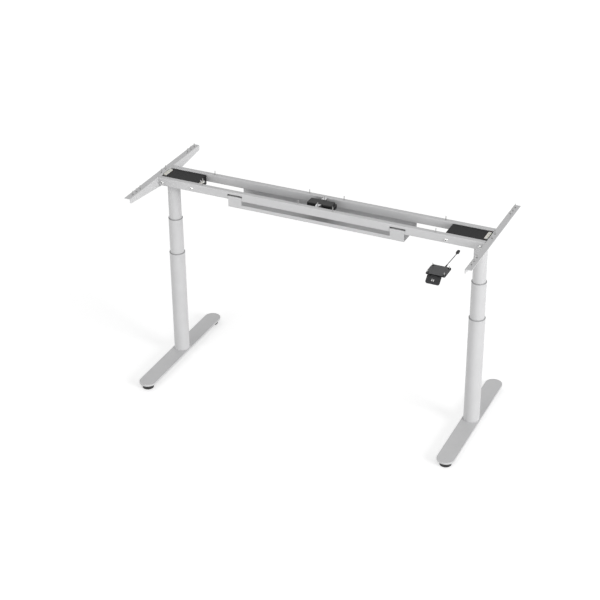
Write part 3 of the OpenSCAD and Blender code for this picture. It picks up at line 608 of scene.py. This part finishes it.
def wood_screw(pile, x, y, plate, rise):
    """A threaded screw up through a plate flush with the frame's top, with its head below."""
    low = TOP - plate * MM
    high = TOP + rise * MM
    place = at(x, y, low)
    r, head, tip = 2.25 * MM, 4.5 * MM, 4.0 * MM
    pile.add(lathe([
        (1.6 * MM, 0), (head * 0.97, 0), (head, -0.3 * MM), (head * 0.96, -1.1 * MM),
        (head * 0.8, -2.1 * MM), (head * 0.5, -2.8 * MM), (head * 0.34, -3.0 * MM),
    ], 24, place))
    pile.add(lathe([
        (head * 0.44, -2.85 * MM), (head * 0.40, -1.6 * MM), (0, -1.4 * MM),
    ], 24, place, radius=lambda i, t, q: q if i == 2 else cross_recess(i, t, q)))
    core = 1.62 * MM
    pile.add(lathe([
        (core, 0), (core, high - low - tip), (core * 0.55, high - low - tip * 0.4),
        (0, high - low),
    ], 16, place))
    thread(pile, place, core, r, 1.9 * MM, plate * MM + 0.4 * MM, high - low - 0.7 * MM, tip)


def make_desk_screws():
    pile = Pile()
    for s in (-1, 1):
        for x in RAIL_SCREW_X:
            for y in (-1, 1):
                wood_screw(pile, s * x, y * RAIL_SCREW_Y + SHIFT_Y, *FLANGE_SCREW)
        for y in BRACKET_SCREW_Y:
            wood_screw(pile, s * BRACKET_SCREW_X, y * MM + SHIFT_Y, *FLANGE_SCREW)
    for y in (-1, 1):
        wood_screw(pile, 0, y * BOX_SCREW_Y + SHIFT_Y, *BOX_SCREW)
    mid_x, mid_y = HANDSET_MID
    off_x, off_y = HANDSET_SCREW_OFF
    for x in (-1, 1):
        for y in (-1, 1):
            wood_screw(pile, mid_x + x * off_x, mid_y + y * off_y + SHIFT_Y, *HANDSET_SCREW)
    for y in CLIP_SCREW_Y:
        wood_screw(pile, CLIP_SCREW_X, y + SHIFT_Y, *CLIP_SCREW)
    ob = pile.make("desk_screws", ROUND)
    return rides(ob, "top", "screw_steel_bright", "desktop_screws")


BOLT_X = (0.6675, 0.8345)
BOLT_Y = 0.0805
BOLT_Z = 1.0355
# Radius and height of the head's dome and of its socket, in millimetres
BOLT_DOME = [
    (4.0, 0), (9.0, 0), (9.0, -0.5), (8.7, -1.5), (8.0, -2.6), (6.9, -3.6), (5.5, -4.3),
    (4.2, -4.58), (3.6, -4.5),
]
BOLT_CUP = [(3.6, -4.5), (3.4, -2.0), (0, -1.9)]
BOLT_CORE = 0.0036
BOLT_CREST = 0.004
BOLT_PITCH = 1.25 * MM
BOLT_SHANK = [(BOLT_CORE, 0), (BOLT_CORE, 0.0375), (0.0030, 0.0385), (0, 0.0385)]


def scaled(profile):
    return [(r * MM, h * MM) for r, h in profile]


def make_housing_bolts():
    """Button-head bolts through the rails, each with a hexagonal socket and a thread; the sockets
    are coloured dark, as painted shade inside them.
    """
    heads, sockets = Pile(), Pile()
    rim = hexagon(len(BOLT_DOME) - 1)
    for s in (-1, 1):
        for x in BOLT_X:
            for y in (-1, 1):
                place = at(s * x, y * BOLT_Y + SHIFT_Y, BOLT_Z, rot("X", 90 * y))
                heads.add(lathe(scaled(BOLT_DOME), 36, place, radius=rim))
                heads.add(lathe(BOLT_SHANK, 24, place))
                thread(heads, place, BOLT_CORE, BOLT_CREST, BOLT_PITCH, 0.001, 0.0375)
                sockets.add(lathe(scaled(BOLT_CUP), 36, place, radius=hexagon(0)))
    bolts = heads.make("rail_bolts", ROUND)
    rides(bolts, "top", "screw_steel_bright", "housing_bolts", look="bolt_steel")
    # The sockets' dark colour is painted shade
    cups = sockets.make("rail_bolt_sockets", ROUND)
    rides(cups, "top", "screw_steel", look="socket_painted_shade")


make_desk_screws()
make_housing_bolts()


# HANDSET PRINT

# Outline of one arrow and its thickness, in millimetres
ARROW = [(-1.4, -5.5), (1.4, -5.5), (1.4, 0.2), (3.4, 0.2), (0, 5.5), (-3.4, 0.2), (-1.4, 0.2)]
ARROW_LEVELS = (0, 0.05)
# Each arrow's place across the paddle, and the way it points
ARROW_PLACES = ((0.7425, -1), (0.7505, 1))
PIN_Y = -0.443
PIN_Z = 1.0476
PADDLE_TILT = 40
# From the pin to the arrows, in the paddle's own slope
ARROW_OFF = (0, -0.024, 0.00253)


def make_arrows():
    """Two plain printed arrows on the paddle, one down and one up."""
    pile = Pile()
    for x, sign in ARROW_PLACES:
        slope = at(x, PIN_Y + SHIFT_Y, PIN_Z, rot("X", PADDLE_TILT))
        place = slope @ Matrix.Translation(ARROW_OFF)
        verts = [
            place @ Vector((u * MM, sign * v * MM, h * MM))
            for h in ARROW_LEVELS for u, v in ARROW
        ]
        n = len(ARROW)
        faces = [tuple(range(n, 2 * n)), tuple(range(n - 1, -1, -1))]
        faces += [(k, (k + 1) % n, n + (k + 1) % n, n + k) for k in range(n)]
        pile.add((verts, faces))
    ob = pile.make("paddle_arrows", 0)
    rides(ob, "paddle", "white_plastic", look="white_ink")


make_arrows()


# FLOOR AND LIGHT

def seen_rays(tree):
    """1 for camera, glossy and transmission rays, and 0 for the rays that light the object."""
    path = tree.nodes.new("ShaderNodeLightPath")
    last = path.outputs["Is Camera Ray"]
    for kind in ("Is Glossy Ray", "Is Transmission Ray"):
        last = math_node(tree, "MAXIMUM", last, path.outputs[kind])
    return last


def camera_white(tree, base, near, far):
    """A diffuse surface with a glow that camera, glossy and transmission rays alone see.
    The glow grows from near to far over GLOW_REACH, in metres from the middle."""
    out = next(n for n in tree.nodes if n.type == "OUTPUT_MATERIAL")
    for n in [n for n in tree.nodes if n.type == "BSDF_PRINCIPLED"]:
        tree.nodes.remove(n)
    diffuse = tree.nodes.new("ShaderNodeBsdfDiffuse")
    diffuse.inputs["Color"].default_value = (base, base, base, 1)
    glow = tree.nodes.new("ShaderNodeEmission")
    reach = tree.nodes.new("ShaderNodeVectorMath")
    reach.operation = "LENGTH"
    tree.links.new(coords(tree), reach.inputs[0])
    strength = spread(tree, reach.outputs["Value"], near, far, *GLOW_REACH)
    tree.links.new(math_node(tree, "MULTIPLY", seen_rays(tree), strength), glow.inputs["Strength"])
    add = tree.nodes.new("ShaderNodeAddShader")
    tree.links.new(diffuse.outputs[0], add.inputs[0])
    tree.links.new(glow.outputs[0], add.inputs[1])
    tree.links.new(add.outputs[0], out.inputs["Surface"])


FLOOR_SIZE = 60
FLOOR_GREY = 0.8
FLOOR_GLOW = 0.47
FAR_GLOW = 0.66
GLOW_REACH = (1.5, 6)
# The world's strength as light on the object, and as seen
WORLD_LIGHT = 0.53
WORLD_SEEN = 1.0
LAMP_SIZE = (5.0, 5.0)
LAMP_AIM = (0, 0, 0.6)


def make_floor():
    s = FLOOR_SIZE
    ob = link("floor", [(-s, -s, 0), (s, -s, 0), (s, s, 0), (-s, s, 0)], [(0, 1, 2, 3)], 0)
    mat = bpy.data.materials.new("floor")
    mat.use_nodes = True
    camera_white(mat.node_tree, FLOOR_GREY, FLOOR_GLOW, FAR_GLOW)
    ob.data.materials.append(mat)


def make_world():
    world = bpy.data.worlds.new("world")
    bpy.context.scene.world = world
    world.use_nodes = True
    tree = world.node_tree
    ground = tree.nodes["Background"]
    ground.inputs["Color"].default_value = (1, 1, 1, 1)
    mix = tree.nodes.new("ShaderNodeMix")
    mix.data_type = "FLOAT"
    mix.inputs["A"].default_value = WORLD_LIGHT
    mix.inputs["B"].default_value = WORLD_SEEN
    tree.links.new(seen_rays(tree), mix.inputs["Factor"])
    tree.links.new(mix.outputs["Result"], ground.inputs["Strength"])


def area(name, pos, aim, size, power):
    data = bpy.data.lights.new(name, "AREA")
    data.shape = "RECTANGLE"
    data.size, data.size_y = size
    data.energy = power
    ob = bpy.data.objects.new(name, data)
    d = Vector(aim) - Vector(pos)
    ob.rotation_euler = d.to_track_quat("-Z", "Y").to_euler()
    ob.location = pos
    bpy.context.scene.collection.objects.link(ob)


make_floor()
make_world()
area("key", (11.2, -3.0, 3.7), LAMP_AIM, LAMP_SIZE, 850)
area("fill", (-4.0, -11.0, 2.7), LAMP_AIM, LAMP_SIZE, 365)
